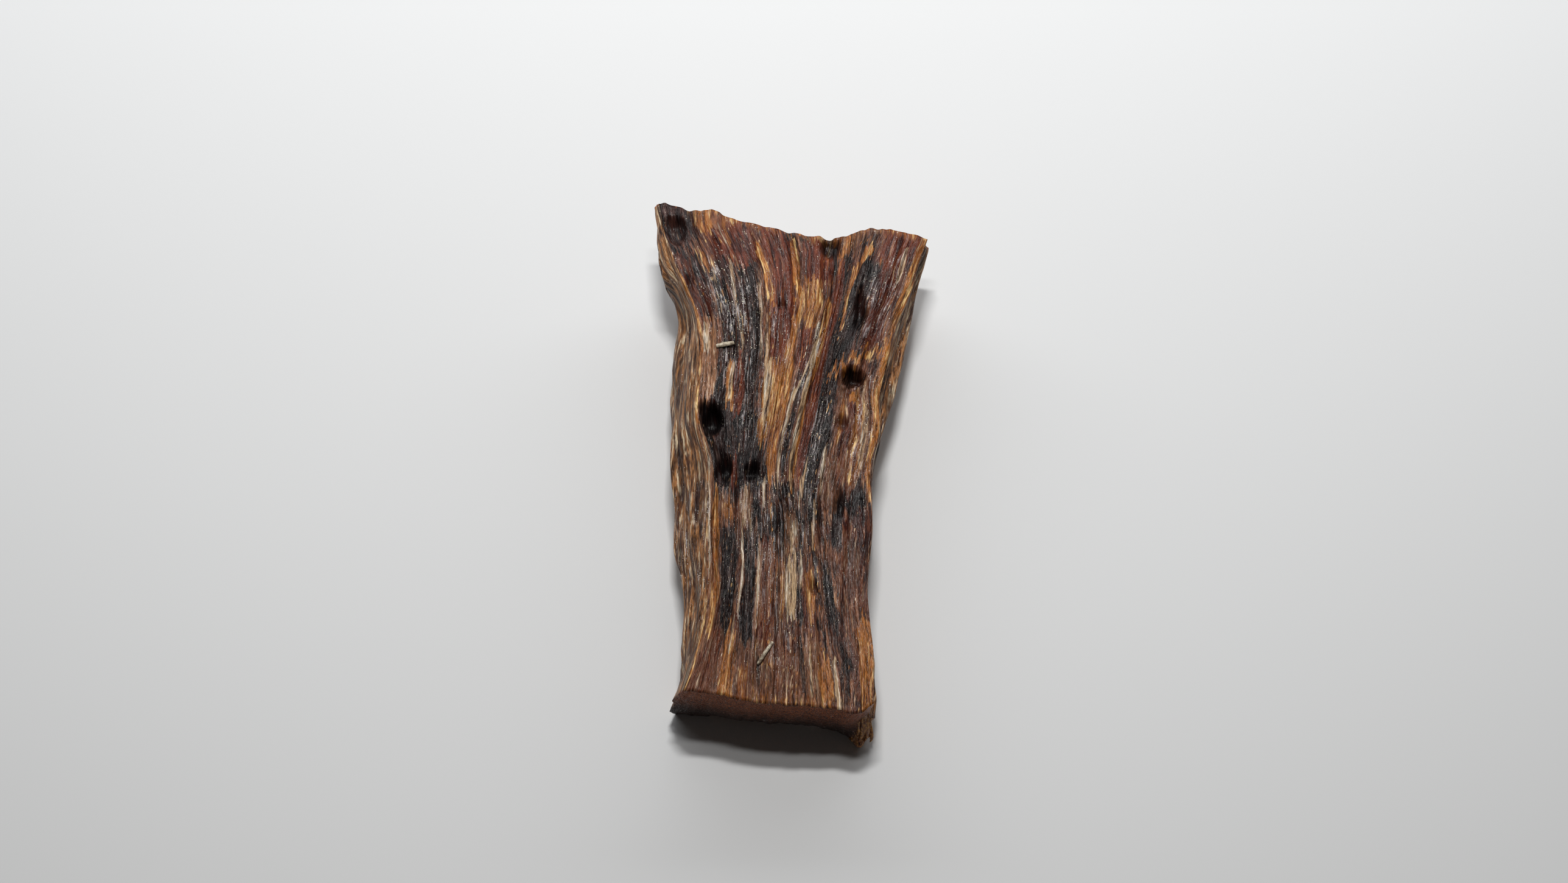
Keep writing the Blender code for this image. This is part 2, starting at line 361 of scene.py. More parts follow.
def net_block(cells):
    bm = bmesh.new()
    bmesh.ops.create_cube(bm, size=1)
    for axis, count in enumerate(cells):
        whole = [e for e in bm.edges if abs(e.verts[0].co[axis] - e.verts[1].co[axis]) > 0.99]
        bmesh.ops.subdivide_edges(bm, edges=whole, cuts=count - 1, use_grid_fill=True)
    bmesh.ops.recalc_face_normals(bm, faces=bm.faces)
    return bm


def unfold(bm):
    layer = bm.loops.layers.uv.new("OFBake")
    for face in bm.faces:
        axis = max(range(3), key=lambda k: abs(face.normal[k]))
        side = (axis, 1 if face.normal[axis] > 0 else -1)
        across, up, left, bottom, width, height = MAP_SIDES[side]
        for loop in face.loops:
            co = loop.vert.co
            loop[layer].uv = (left + width * (co[across] + 0.5), bottom + height * (co[up] + 0.5))


block = net_block(CELLS)
unfold(block)
print("cells on the block:", len(block.faces))


# %% [markdown]
# ## Fine fibres in the mesh
# Fibres are long and thin, so their pattern is noise that is stretched along the grain. The noise is
# read in the grain's own directions, u, along and w, so the fibres follow the curves of the chip and
# run right through it: on the sides they are lines, and on the two ends they are dots.

# %% Noise in the grain's own directions
def stretched(across, along, through, width, length, seed):
    values = [noise.noise(Vector((a / width, b / length, c / width + seed)))
              for a, b, c in zip(across, along, through)]
    return np.array(values)


GRAIN_WIDTH = 11.5
GRAIN_DEPTH = 4
ROUGH_START = -15
ROUGH_LENGTH = 27
RIM = 0.001
unit = np.array([vert.co for vert in block.verts], float) + 0.5
u, v, w = unit[:, 0], unit[:, 1], unit[:, 2]
at_near_end = v < RIM
at_far_end = v > 1 - RIM
on_side = (u < RIM) | (u > 1 - RIM)
grain_u = u * GRAIN_WIDTH
rough_y = ROUGH_START + ROUGH_LENGTH * v
ragged = stretched(grain_u, rough_y, w, 0.7, 0.9, 5)
ragged += 0.4 * stretched(grain_u, rough_y, w, 0.25, 0.5, 6)
print("points on the block:", len(unit))

# %% Move the points
x, y, z, depth = chip_points(u, v, w, ragged)
grain_w = GRAIN_DEPTH - depth
for vert, a, b, c in zip(block.verts, x, y, z):
    vert.co = ((a - MIDDLE[0]) * MM, (b - MIDDLE[1]) * MM, c * MM)
block.normal_update()
print("chip from y", round(float(y.min()), 2), "to", round(float(y.max()), 2), "mm on the drawing")

# %% Add the fibres
WIDE_RELIEF = 0.09
FINE_RELIEF = 0.06
FAR_END_RELIEF = (0.04, 0.05)
NEAR_END_RELIEF = 0.03
wide = stretched(grain_u, y, grain_w, 0.34, 4.5, 11)
fine = stretched(grain_u, y, grain_w, 0.15, 1.8, 23)
ends = stretched(grain_u, y * 0, grain_w, 0.24, 1.0, 31)
relief = WIDE_RELIEF * wide + FINE_RELIEF * fine
relief = np.where(at_far_end, FAR_END_RELIEF[0] * wide + FAR_END_RELIEF[1] * ends, relief)
relief = np.where(at_near_end, NEAR_END_RELIEF * ends, relief)
normals = np.array([vert.normal for vert in block.verts])
points = np.array([vert.co for vert in block.verts]) + normals * (relief * MM)[:, None]
points[:, 2] = np.maximum(points[:, 2], 0)
for vert, point in zip(block.verts, points):
    vert.co = point
print("relief from", round(float(relief.min()), 3), "to", round(float(relief.max()), 3), "mm")

# %% [markdown]
# ## Where each colour of wood lies
# Agarwood is pale wood that has filled with dark resin along its fibres. Each streak below is a
# stripe along the grain: its place across at its far end and at its near end, its half width, where
# it starts and ends along the grain, and its strength. Each kind of wood has its own list.

# %% Dark streaks of resin and russet
RESIN = [
    (0.05, 0.05, 0.085, 13.4, 10.8, 1.3), (0.05, 0.07, 0.08, 10.8, 6.4, 0.6),
    (0.13, 0.15, 0.045, 1.7, -0.8, 1.3), (0.20, 0.19, 0.10, 9.4, 2.4, 0.75),
    (0.18, 0.20, 0.07, 1.9, -0.9, 0.85), (0.27, 0.27, 0.045, 8.6, -0.5, 0.75),
    (0.09, 0.09, 0.035, 3.4, 1.2, 0.9), (0.22, 0.20, 0.22, -0.5, -3.9, 1.15),
    (0.44, 0.46, 0.03, 11.4, 10.2, 0.8), (0.675, 0.66, 0.035, 9.8, 6.0, 0.8),
    (0.72, 0.73, 0.065, 7.6, 1.2, 1.2), (0.79, 0.79, 0.04, 9.2, 4.2, 1.2),
    (0.86, 0.87, 0.05, 9.6, 4.8, 0.6), (0.74, 0.73, 0.055, 2.8, -4.6, 0.95),
    (0.55, 0.55, 0.016, 2.4, -2.2, 1.0), (0.50, 0.52, 0.30, -3.2, -7.2, 0.62),
    (0.63, 0.64, 0.03, -4.0, -7.5, 0.7), (0.16, 0.16, 0.06, -5.8, -11.0, 0.9),
    (0.31, 0.31, 0.045, -5.6, -12.8, 0.85), (0.645, 0.645, 0.022, -7.0, -11.0, 0.7),
    (0.80, 0.83, 0.03, -7.2, -11.5, 0.7), (0.89, 0.86, 0.018, -3.2, -6.4, 1.1),
    (0.93, 0.94, 0.04, -2.6, -5.2, 0.8), (0.39, 0.39, 0.03, -12.9, -14.3, 0.8),
    (0.645, 0.65, 0.025, -12.3, -14.6, 0.8), (0.87, 0.87, 0.03, -8.0, -15.0, 0.5),
    (0.61, 0.62, 0.025, 10.8, 9.2, 0.9), (0.04, 0.03, 0.05, -2.6, -4.4, 0.5),
    (0.46, 0.48, 0.08, -6.5, -12.5, 0.4), (0.93, 0.93, 0.05, -5.0, -12.0, 0.45),
    (0.75, 0.76, 0.05, -6.0, -14.0, 0.4), (0.10, 0.10, 0.08, -11.0, -14.4, 0.45),
]
RUSSET = [
    (0.40, 0.40, 0.055, 11.3, 3.2, 0.95), (0.55, 0.56, 0.06, 10.6, 8.0, 1.0),
    (0.535, 0.53, 0.035, 5.9, 3.5, 1.0), (0.665, 0.655, 0.035, 9.0, -2.4, 0.9),
    (0.25, 0.25, 0.10, 12.5, 9.4, 0.8), (0.17, 0.18, 0.10, 10.0, 3.0, 0.35),
    (0.90, 0.90, 0.09, 11.6, 9.4, 0.8), (0.90, 0.90, 0.06, 9.5, 5.0, 0.6),
    (0.205, 0.205, 0.03, 3.6, 0.8, 1.0), (0.19, 0.19, 0.03, -1.8, -3.3, 0.9),
    (0.46, 0.46, 0.04, -0.5, -2.8, 0.5), (0.88, 0.90, 0.06, 2.0, -3.0, 0.6),
    (0.42, 0.43, 0.06, -6.4, -12.0, 0.6), (0.70, 0.70, 0.05, -8.0, -12.0, 0.5),
    (0.08, 0.08, 0.08, -11.0, -14.6, 0.6), (0.55, 0.55, 0.08, -11.0, -14.8, 0.5),
    (0.93, 0.93, 0.07, -4.5, -10.0, 0.4), (0.24, 0.25, 0.04, -3.4, -5.0, 0.4),
    (0.32, 0.32, 0.05, -12.5, -15.2, 0.6), (0.03, 0.04, 0.06, 9.8, 6.0, 0.5),
]
print(len(RESIN), "streaks of resin,", len(RUSSET), "of russet")

# %% Streaks of golden wood
GOLD = [
    (0.456, 0.460, 0.013, 10.7, 8.0, 1.3), (0.468, 0.488, 0.014, 8.2, 7.0, 1.2),
    (0.485, 0.45, 0.016, 7.1, 5.0, 1.1), (0.45, 0.43, 0.022, 5.2, 3.2, 1.0),
    (0.53, 0.54, 0.050, 8.3, 5.6, 0.75), (0.625, 0.62, 0.020, 7.4, 3.2, 0.9),
    (0.45, 0.455, 0.045, 3.8, -0.2, 1.0), (0.455, 0.465, 0.035, 0.0, -3.0, 0.9),
    (0.37, 0.38, 0.045, 3.6, -0.8, 0.9), (0.60, 0.61, 0.020, 2.6, -3.0, 1.1),
    (0.155, 0.16, 0.016, 3.6, 1.2, 0.9), (0.79, 0.74, 0.015, 10.5, 8.9, 1.4),
    (0.74, 0.725, 0.015, 9.0, 7.8, 1.4), (0.725, 0.735, 0.010, 7.9, 6.8, 1.0),
    (0.735, 0.755, 0.007, 6.8, 5.6, 0.8), (0.335, 0.34, 0.010, 10.5, 8.3, 1.0),
    (0.34, 0.36, 0.010, 8.3, 7.0, 1.0), (0.35, 0.335, 0.008, 7.0, 3.4, 0.7),
    (0.985, 0.985, 0.020, 10.9, -3.0, 0.9), (0.875, 0.88, 0.016, 2.6, 1.9, 1.0),
    (0.06, 0.06, 0.030, -4.0, -11.0, 0.8), (0.15, 0.15, 0.050, -4.1, -5.1, 0.8),
    (0.21, 0.22, 0.045, -11.2, -15.2, 0.85), (0.71, 0.71, 0.03, -7.8, -10.4, 0.7),
    (0.77, 0.775, 0.025, -12.6, -15.2, 0.8), (0.74, 0.745, 0.014, -13.5, -15.6, 0.8),
    (0.97, 0.97, 0.04, -10.6, -15.8, 0.8), (0.31, 0.31, 0.030, -13.2, -15.0, 0.5),
    (0.45, 0.45, 0.350, -14.9, -15.6, 0.5), (0.15, 0.16, 0.04, 12.6, 11.2, 0.6),
    (0.11, 0.12, 0.025, 10.4, 9.0, 0.5), (0.18, 0.185, 0.012, 12.8, 11.2, 0.8),
    (0.24, 0.235, 0.010, 12.3, 10.6, 0.7), (0.69, 0.66, 0.020, 10.9, 9.8, 0.8),
    (0.53, 0.53, 0.020, -7.4, -10.4, 0.6), (0.835, 0.835, 0.012, 1.8, -0.6, 0.6),
    (0.18, 0.18, 0.008, 1.8, 0.9, 1.0), (0.91, 0.92, 0.03, 2.0, -2.4, 0.5),
    (0.004, 0.004, 0.009, 8.5, -14.0, 0.9), (0.60, 0.57, 0.05, 11.1, 10.7, 0.8),
    (0.99, 0.76, 0.035, 5.0, 3.5, 1.3),
]
print(len(GOLD), "streaks of gold")

# %% Light streaks of tan and pale wood, and painted glint lines
TAN = [
    (0.045, 0.05, 0.04, 5.8, 1.8, 1.0), (0.92, 0.92, 0.05, 2.6, -2.8, 0.5),
    (0.28, 0.28, 0.05, -3.4, -5.2, 0.6), (0.14, 0.14, 0.07, -3.5, -5.5, 0.5),
    (0.59, 0.59, 0.06, -4.8, -7.0, 0.6), (0.02, 0.02, 0.03, -1.0, -12.0, 0.7),
    (0.45, 0.45, 0.05, -6.5, -11.5, 0.4), (0.53, 0.53, 0.04, -7.0, -15.0, 0.4),
    (0.92, 0.92, 0.05, -6.0, -12.0, 0.35), (0.10, 0.10, 0.12, -11.0, -14.6, 0.4),
    (0.70, 0.70, 0.05, -11.5, -15.4, 0.6), (0.84, 0.84, 0.06, -1.0, -4.5, 0.4),
    (0.30, 0.30, 0.05, -4.0, -5.6, 0.4), (0.83, 0.83, 0.03, 3.0, -1.0, 0.4),
    (0.70, 0.69, 0.05, 11.4, 10.2, 0.5), (0.21, 0.21, 0.07, 12.9, 11.6, 0.5),
    (0.60, 0.58, 0.12, 11.0, 10.6, 0.4), (0.40, 0.40, 0.42, -12.2, -15.6, 0.42),
    (0.38, 0.38, 0.02, -6.4, -11.0, 0.8),
]
# pale wood; the rows at 0.515, 0.01, 0.255 and 0.37 are painted glint lines
PALE_AND_GLINT_LINES = [
    (0.03, 0.035, 0.020, 5.7, 4.2, 0.8), (0.59, 0.60, 0.013, 5.9, 4.4, 1.3),
    (0.60, 0.585, 0.014, 4.6, 3.2, 1.3), (0.58, 0.545, 0.011, 3.6, 2.6, 1.3),
    (0.545, 0.515, 0.011, 2.8, 1.6, 1.2), (0.515, 0.515, 0.011, 1.8, -3.0, 1.1),
    (0.59, 0.60, 0.012, 2.8, -2.8, 1.1), (0.35, 0.375, 0.022, 3.6, 0.4, 1.0),
    (0.205, 0.205, 0.010, 9.2, 3.2, 0.5), (0.14, 0.12, 0.008, 9.6, 6.2, 0.5),
    (0.93, 0.935, 0.010, 10.4, 8.6, 1.0), (0.93, 0.945, 0.014, 2.4, -2.4, 0.6),
    (0.01, 0.008, 0.008, -0.5, -8.0, 1.0), (0.255, 0.255, 0.010, -6.0, -10.6, 0.7),
    (0.37, 0.375, 0.012, -7.0, -9.8, 0.7), (0.59, 0.59, 0.034, -7.2, -10.5, 1.4),
    (0.60, 0.595, 0.025, -5.2, -6.6, 0.7), (0.225, 0.225, 0.010, -10.6, -12.2, 0.9),
    (0.70, 0.66, 0.010, -1.8, -4.2, 0.9), (0.79, 0.79, 0.012, -1.0, -3.6, 0.6),
    (0.70, 0.69, 0.010, -12.4, -14.8, 0.8), (0.81, 0.81, 0.012, -13.0, -15.6, 0.8),
    (0.22, 0.23, 0.008, 12.0, 9.0, 0.4), (0.335, 0.335, 0.008, 6.5, 3.2, 0.7),
    (0.76, 0.75, 0.010, -4.0, -7.0, 0.6), (0.42, 0.41, 0.010, -2.6, -4.4, 0.7),
    (0.165, 0.165, 0.008, 3.4, 1.4, 1.1), (0.29, 0.26, 0.02, -3.4, -5.6, 0.6),
    (0.31, 0.32, 0.012, -4.6, -6.2, 0.5), (0.655, 0.65, 0.012, -7.0, -9.0, 0.6),
    (0.31, 0.305, 0.007, 9.0, 4.0, 0.5),
]
print(len(TAN), "streaks of tan,", len(PALE_AND_GLINT_LINES), "of pale wood")

# %% Stretches where glints are painted on the resin
PAINTED_GLINTS = [
    (0.19, 0.19, 0.13, 9.6, 2.2, 0.9), (0.20, 0.20, 0.03, 9.0, 5.0, 1.4),
    (0.14, 0.12, 0.025, 9.6, 6.5, 1.1), (0.54, 0.54, 0.04, 3.6, -3.4, 1.0),
    (0.73, 0.74, 0.05, 2.5, -5.5, 1.0), (0.88, 0.90, 0.07, 9.5, 5.5, 0.7),
    (0.45, 0.48, 0.32, -2.8, -7.2, 0.9), (0.40, 0.41, 0.06, 7.0, 2.6, 0.7),
    (0.26, 0.26, 0.04, 6.0, -0.5, 1.0), (0.25, 0.25, 0.02, -5.8, -10.6, 1.2),
    (0.37, 0.37, 0.02, -7.0, -10.0, 0.8), (0.60, 0.60, 0.05, -4.0, -10.5, 0.6),
    (0.60, 0.60, 0.025, 6.2, 3.0, 1.2), (0.06, 0.06, 0.05, 3.5, 1.5, 0.8),
    (0.93, 0.94, 0.05, 3.0, -2.5, 1.2), (0.01, 0.01, 0.012, -3.0, -9.0, 1.2),
    (0.35, 0.37, 0.05, 4.0, -1.0, 0.8), (0.50, 0.50, 0.20, -7.0, -13.5, 0.5),
    (0.80, 0.80, 0.10, -5.0, -10.0, 0.5), (0.16, 0.16, 0.05, -5.5, -10.5, 0.5),
]
print(len(PAINTED_GLINTS), "stretches of glints")


# %% Paint the streaks on the points
def streaks(table, u, along):
    total = np.zeros_like(u)
    for far_u, near_u, half, far, near, strength in table:
        t = (far - along) / (far - near)
        centre = far_u + (near_u - far_u) * np.clip(t, 0, 1)
        middle = np.abs(2 * t - 1) / 1.15
        width = half * np.sqrt(np.clip(1 - middle ** 4, 0.0001, 1))
        edge = np.clip(1.5 - np.abs(u - centre) / width, 0, 1)
        total = np.maximum(total, strength * edge * edge * (3 - 2 * edge))
    return total


STREAKS = {"resin": RESIN, "russet": RUSSET, "tan": TAN, "gold": GOLD, "pale_and_glint": PALE_AND_GLINT_LINES, "painted_glint": PAINTED_GLINTS}
WANDER = 0.012
TREMBLE = 0.006
RUN_ON = 0.9
drift = WANDER * stretched(grain_u, y, grain_w, 0.9, 2.0, 41)
drift += TREMBLE * stretched(grain_u, y, grain_w, 0.25, 0.8, 43)
reach_on = RUN_ON * stretched(grain_u, y, grain_w, 0.16, 5.0, 47)
masks = {name: streaks(rows, u + drift, y + reach_on) for name, rows in STREAKS.items()}
print({name: round(float(values.mean()), 3) for name, values in masks.items()})

# %% [markdown]
# ## Hollows, the horn's knot, sides and ends
# Other colours depend on a place, not on a streak. The hollows are painted dark as shade, deeper ones
# darker, and they stain the resin around them, the horn has a round knot with a ring, the sides show
# the split fibres as fine stripes, and the two ends show them as dots, painted darker towards the
# bottom as shade. Along the top of the far end a golden rim is painted, as light that shines through
# the thin edge, and where the tuft is frayed, clean golden fibres lie open.

# %% Paint the hollows' shade and the knot
FULLY_DARK = 0.6
DARK_REACH = 1.05
STAIN_REACH = 1.9
KNOT_PLACE = (0.055, 11.7)
KNOT_HALF = (0.06, 0.85)
KNOT_RINGS = ((0, 1.15, 1), (1.35, 0.3, 0.25), (0.75, 0.2, -0.5))
TOP_FROM = 0.985
top = window(w, TOP_FROM, 2, 0.02)
painted_hollow_shade = np.zeros_like(u)
stain = np.zeros_like(u)
# each hollow gets painted shade, darker the deeper it sinks, and a stain of resin around it
for hollow_x, hollow_y, half_width, half_length, sink, _ in HOLLOWS:
    reach = hollow_reach(hollow_x, hollow_y, half_width, half_length, x, y, ragged)
    darkness = min(1.0, sink / FULLY_DARK)
    painted_hollow_shade = np.maximum(painted_hollow_shade, darkness * np.exp(-((reach / DARK_REACH) ** 4)))
    stain = np.maximum(stain, darkness * bump(reach / STAIN_REACH))
masks["painted_hollow_shade"] = painted_hollow_shade * top
masks["resin"] = np.maximum(masks["resin"], stain * window(u, -1, 0.5, 0.1))
ring = np.hypot((u - KNOT_PLACE[0]) / KNOT_HALF[0], (y - KNOT_PLACE[1]) / KNOT_HALF[1])
ring *= 1 + 0.3 * ragged
knot = sum(amount * bump((ring - place) / half) for place, half, amount in KNOT_RINGS)
masks["knot"] = np.clip(knot, 0, 1) * top
print("points in a hollow:", int((masks["painted_hollow_shade"] > 0.5).sum()))

# %% Paint the sides and the ends
FRAY_MIDDLE = 0.965
FRAY_HALF = 0.05
FRAY_TOP = 0.55
GLOW_RIM_FROM = 0.985
GLOW_RIM_GOLD = 0.45
FAR_DOTS = 0.7
tuft = np.clip(1.3 * bump((u - FRAY_MIDDLE) / FRAY_HALF), 0, 1)
tuft *= window(v, -1, 0.02, 0.02) * window(w, -1, FRAY_TOP, 0.3)
# a golden rim painted along the top of the far end, as light that shines through the thin edge
painted_glow_rim = window(v, GLOW_RIM_FROM, 2, 0.012) * window(u, 0.11, 2, 0.02)
near_end = np.where(at_near_end, 1 - top, 0) * (1 - tuft)
far_end = np.where(at_far_end, 1 - top, 0)
masks["side"] = np.where(on_side, 1 - top, 0)
masks["cut"] = near_end + FAR_DOTS * far_end
masks["gold"] = np.maximum(masks["gold"], np.maximum(GLOW_RIM_GOLD * painted_glow_rim, tuft))
print("points on the sides:", int(on_side.sum()))


# %% Make the chip from the block
def chip_from(block, masks, grain):
    mesh = bpy.data.meshes.new("agarwood")
    bmesh.ops.recalc_face_normals(block, faces=block.faces)
    block.to_mesh(mesh)
    block.free()
    mesh.shade_smooth()
    for name, values in masks.items():
        layer = mesh.attributes.new(name, "FLOAT", "POINT")
        layer.data.foreach_set("value", values.astype(np.float32))
    layer = mesh.attributes.new("grain", "FLOAT_VECTOR", "POINT")
    layer.data.foreach_set("vector", grain.astype(np.float32).ravel())
    piece = bpy.data.objects.new("agarwood", mesh)
    bpy.context.scene.collection.objects.link(piece)
    return piece


chip = chip_from(block, masks, np.stack([grain_u, y, grain_w], axis=1))
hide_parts("agarwood_chip")
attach(chip, "root")
print("chip triangles:", 2 * len(chip.data.polygons))


# %% [markdown]
# ## A material for resin-streaked wood
# The wood has a brown ground, and five kinds of streak lie over it, one after the other. Real
# streaks have ragged edges, because resin fills some fibres and leaves their neighbours, so each
# mask is broken up with fibre noise before it mixes its colour in. A few small helpers add the
# nodes, because more than a hundred of them would be slow to place by hand.

# %% Node helpers
def linear(red, green, blue):
    def channel(value):
        value = value / 255
        return value / 12.92 if value <= 0.04045 else ((value + 0.055) / 1.055) ** 2.4
    return (channel(red), channel(green), channel(blue), 1)


def add(tree, kind, inputs, **settings):
    node = tree.nodes.new("ShaderNode" + kind)
    for name, value in settings.items():
        setattr(node, name, value)
    for name, value in inputs.items():
        socket = node.inputs[name]
        if isinstance(value, bpy.types.NodeSocket):
            tree.links.new(value, socket)
        else:
            socket.default_value = value
    return node


def mask(tree, name):
    return add(tree, "Attribute", {}, attribute_name=name).outputs["Fac"]


def maths(tree, operation, *values, clamp=False):
    inputs = {number: value for number, value in enumerate(values)}
    return add(tree, "Math", inputs, operation=operation, use_clamp=clamp).outputs[0]


def between(tree, value, low, high):
    inputs = {"Value": value, "From Min": low, "From Max": high}
    return add(tree, "MapRange", inputs, interpolation_type="SMOOTHSTEP").outputs["Result"]


def blend(tree, factor, under, over):
    node = add(tree, "Mix", {}, data_type="RGBA")
    for number, value in ((0, factor), (6, under), (7, over)):
        if isinstance(value, bpy.types.NodeSocket):
            tree.links.new(value, node.inputs[number])
        else:
            node.inputs[number].default_value = value
    return node.outputs[2]


print("a middle grey in linear light:", round(linear(128, 128, 128)[0], 3))


# %% [markdown]
# ## Patterns of fibres
# All the patterns are the same noise, stretched along the grain: broad bands, patches, threads of
# two widths, fine hairs and long strings. Each has its width and its length in millimetres, its
# amount of detail and its seed. They are read in the grain's own directions, which are kept on the
# points of the mesh, and a slow wave sways them so that no fibre is quite straight.

# %% Fibre patterns
PATTERNS = {
    "broad": (0.45, 4.0, 2, 1.7),
    "patch": (0.6, 1.4, 2, 8.8),
    "thread": (0.16, 1.9, 3, 5.1),
    "other": (0.13, 1.5, 3, 14.2),
    "hair": (0.05, 0.4, 1, 9.3),
    "string": (0.12, 1.6, 2, 20.1),
}


def along_grain(tree, vector, width, length):
    stretch = (1 / width, 1 / length, 1 / width)
    return add(tree, "VectorMath", {0: vector, 1: stretch}, operation="MULTIPLY").outputs[0]


def fibre_noise(tree, vector, width, length, detail, seed):
    shift = (seed, seed * 2.3, seed * 0.7)
    scaled = along_grain(tree, vector, width, length)
    moved = add(tree, "VectorMath", {0: scaled, 1: shift}, operation="ADD").outputs[0]
    inputs = {"Vector": moved, "Scale": 1.0, "Detail": detail, "Roughness": 0.6}
    return add(tree, "TexNoise", inputs).outputs["Fac"]


def fibre_patterns(tree):
    straight = add(tree, "Attribute", {}, attribute_name="grain").outputs["Vector"]
    waves = fibre_noise(tree, straight, 0.9, 2.2, 1, 6.6)
    sway = add(tree, "CombineXYZ", {"X": maths(tree, "MULTIPLY_ADD", waves, 0.3, -0.15)}).outputs[0]
    where = add(tree, "VectorMath", {0: straight, 1: sway}, operation="ADD").outputs[0]
    patterns = {name: fibre_noise(tree, where, *sizes) for name, sizes in PATTERNS.items()}
    patch = maths(tree, "MULTIPLY", patterns["patch"], 0.4)
    patterns["mixed"] = maths(tree, "MULTIPLY_ADD", patterns["thread"], 0.6, patch)
    return where, patterns


print(len(PATTERNS), "patterns of fibres")


# %% [markdown]
# ## Colours of the wood
# Each kind of wood has a dark tone, and lighter tones that come in where a pattern rises from one
# value to another. The tones are written as they look on a screen, from 0 to 255, and the helper
# above turns them into the linear light that the material works in.

# %% Kinds of wood
WOODS = {
    "brown": ((48, 29, 27), ("patch", 0.35, 0.62, (98, 58, 44)), ("thread", 0.48, 0.66, (148, 100, 74)),
              ("other", 0.6, 0.72, (200, 156, 120))),
    "resin": ((19, 12, 13), ("patch", 0.4, 0.65, (46, 29, 27)), ("thread", 0.52, 0.7, (92, 72, 66))),
    "russet": ((64, 26, 21), ("other", 0.3, 0.7, (124, 60, 36)), ("thread", 0.6, 0.72, (168, 100, 58))),
    "tan": ((108, 66, 48), ("thread", 0.3, 0.65, (176, 126, 92)), ("other", 0.56, 0.7, (218, 188, 158))),
    "gold": ((114, 60, 30), ("thread", 0.3, 0.6, (184, 116, 56)), ("other", 0.52, 0.68, (246, 204, 138))),
    "pale_and_glint": ((126, 82, 56), ("other", 0.3, 0.58, (212, 178, 138)), ("thread", 0.5, 0.66, (248, 234, 212))),
    "side": ((90, 54, 36), ("thread", 0.36, 0.6, (180, 124, 76)), ("other", 0.52, 0.68, (240, 216, 180))),
    "cut": ((126, 60, 28), ("hair", 0.4, 0.7, (204, 114, 56))),
    "knot": ((34, 19, 17), ("thread", 0.4, 0.62, (88, 48, 38))),
    # painted shade in the hollows: near black, with reddish patches
    "painted_pit_shade": ((12, 7, 8), ("patch", 0.5, 0.7, (50, 20, 15))),
}


def wood_colour(tree, patterns, kind):
    ground, *touches = WOODS[kind]
    colour = linear(*ground)
    for pattern, low, high, tone in touches:
        colour = blend(tree, between(tree, patterns[pattern], low, high), colour, linear(*tone))
    return colour


print(len(WOODS), "kinds of wood")

# %% [markdown]
# ## Layers of streaks
# The streaks are laid over the brown ground in this order, so pale wood is seen above resin. Each
# layer names the pattern that breaks up its edge, and how soft that edge is. The sides and ends
# come next, and then the painted shade in the gaps between the fibres.

# %% Streaks over the brown ground
LAYERS = (("resin", "mixed", 0.4), ("russet", "other", 0.4), ("tan", "thread", 0.5),
          ("gold", "thread", 0.3), ("pale_and_glint", "other", 0.3))


def ragged_mask(tree, name, pattern, soft):
    level = maths(tree, "MULTIPLY_ADD", mask(tree, name), 1 + 2 * soft, -soft)
    rank = between(tree, pattern, 0.3, 0.7)
    return between(tree, maths(tree, "SUBTRACT", level, rank), -soft, soft)


def streaked_wood(tree, patterns):
    colour = wood_colour(tree, patterns, "brown")
    for kind, pattern, soft in LAYERS:
        streak = ragged_mask(tree, kind, patterns[pattern], soft)
        colour = blend(tree, streak, colour, wood_colour(tree, patterns, kind))
    return colour


print(len(LAYERS), "layers of streaks")


# %% Sides and ends
SIDE_SHADE = (40, 25, 26)
PAINTED_END_SHADE = (42, 20, 12)


def sides_and_ends(tree, where, patterns, colour):
    stripe = wood_colour(tree, patterns, "side")
    bands = maths(tree, "MULTIPLY", between(tree, patterns["broad"], 0.5, 0.42), 0.65)
    stripe = blend(tree, bands, stripe, linear(*SIDE_SHADE))
    colour = blend(tree, mask(tree, "side"), colour, stripe)
    rise = add(tree, "SeparateXYZ", {"Vector": where}).outputs["Z"]
    dots = wood_colour(tree, patterns, "cut")
    # the ends are painted darker towards the bottom, as shade
    dots = blend(tree, between(tree, rise, 4.2, 0.8), dots, linear(*PAINTED_END_SHADE))
    return blend(tree, mask(tree, "cut"), colour, dots)


print("shade in the bands on the sides:", SIDE_SHADE)


# %% Painted shade in the gaps between the fibres
PAINTED_GAP_SHADE = (12, 8, 9)


def painted_gap_shade(tree, patterns, colour):
    hairs = maths(tree, "MULTIPLY_ADD", between(tree, patterns["hair"], 0.38, 0.56), 0.6, 0.5)
    rows = maths(tree, "MULTIPLY_ADD", between(tree, patterns["other"], 0.37, 0.48), 0.7, 0.35)
    shade = maths(tree, "SUBTRACT", 1.0, maths(tree, "MULTIPLY", hairs, rows), clamp=True)
    smooth = maths(tree, "MULTIPLY_ADD", mask(tree, "russet"), -0.45, 1.0)
    # the gaps between the fibres are painted darker as shade, less so on the russet
    return blend(tree, maths(tree, "MULTIPLY", shade, smooth), colour, linear(*PAINTED_GAP_SHADE))


print("shade in the gaps:", PAINTED_GAP_SHADE)


# %% [markdown]
# ## Painted sheen threads and painted glints
# Resin on the fibres throws back the light in silver threads and small sparks, and here both are
# painted into the colour as sheen and highlights. A spark smaller than a fibre would need millions of
# faces, so the sparks are the cells of a Voronoi texture. Each cell has its own chance, size and
# tint, and most of them stay dark.

# %% Painted sheen threads and painted sparks
PAINTED_SPARK_WIDTH = 0.07
PAINTED_SPARK_LENGTH = 0.1
PAINTED_SHEEN = (196, 188, 188)
PAINTED_SPARK_WHITE = (250, 240, 240)


